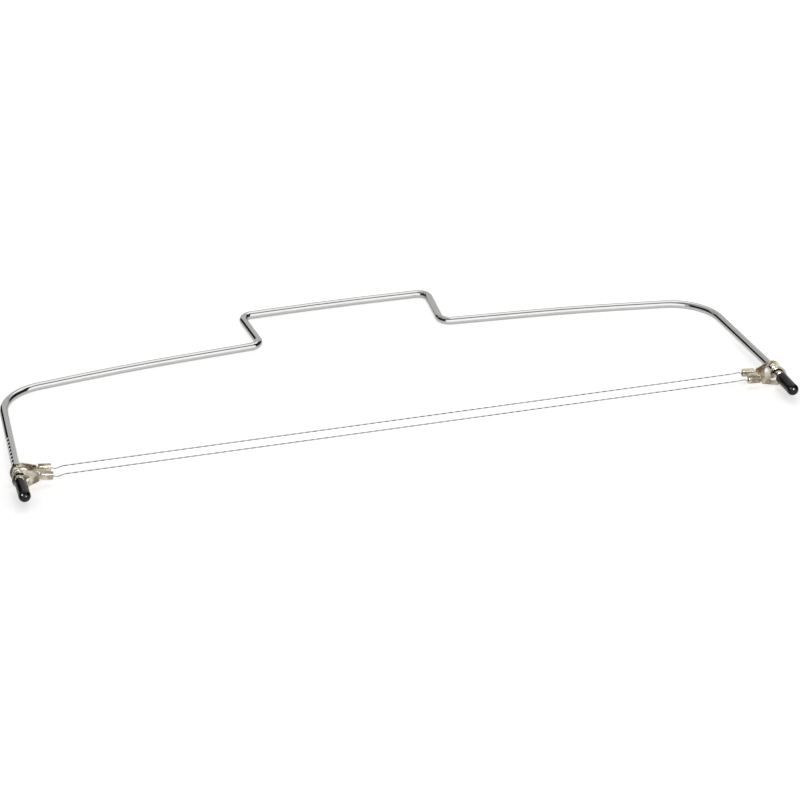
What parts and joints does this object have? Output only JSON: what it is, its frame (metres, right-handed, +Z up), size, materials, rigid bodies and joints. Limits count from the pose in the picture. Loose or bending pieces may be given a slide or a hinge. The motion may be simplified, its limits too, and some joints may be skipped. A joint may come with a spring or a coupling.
{
  "type": "cake leveler",
  "caption": "Hand-held cake leveler: a bent rod bow with a raised handle and two taut cutting wires on tabs that slide up its notched legs.",
  "frame": {"origin": "middle of the bottom of the whole object's box, as it lies on a table", "axes": "+X from the left foot to the right foot, +Y from the feet to the raised handle, +Z up from the table"},
  "size_m": [0.4742, 0.196, 0.0124],
  "materials": {
    "bow": "bright chrome plate on steel rod",
    "tabs": "bright nickel plate on pressed steel",
    "wires": "twisted stainless steel wire",
    "caps": "glossy black dipped vinyl"
  },
  "bodies": {
    "bow": {"bow_frame": "bow", "left_foot_cap": "caps", "right_foot_cap": "caps"},
    "upper_cutter": {"upper_left_tab": "tabs", "upper_right_tab": "tabs", "upper_wire": "wires"},
    "lower_cutter": {"lower_left_tab": "tabs", "lower_right_tab": "tabs", "lower_wire": "wires"}
  },
  "joints": [
    {"name": "upper_wire_slide", "type": "slide", "parent": "bow", "child": "upper_cutter", "axis": [0, 0.9998, -0.0207], "range_m": [0, 0.0387]},
    {"name": "lower_wire_slide", "type": "slide", "parent": "bow", "child": "lower_cutter", "axis": [0, 0.9998, -0.0207], "range_m": [0, 0.0043]}
  ]
}
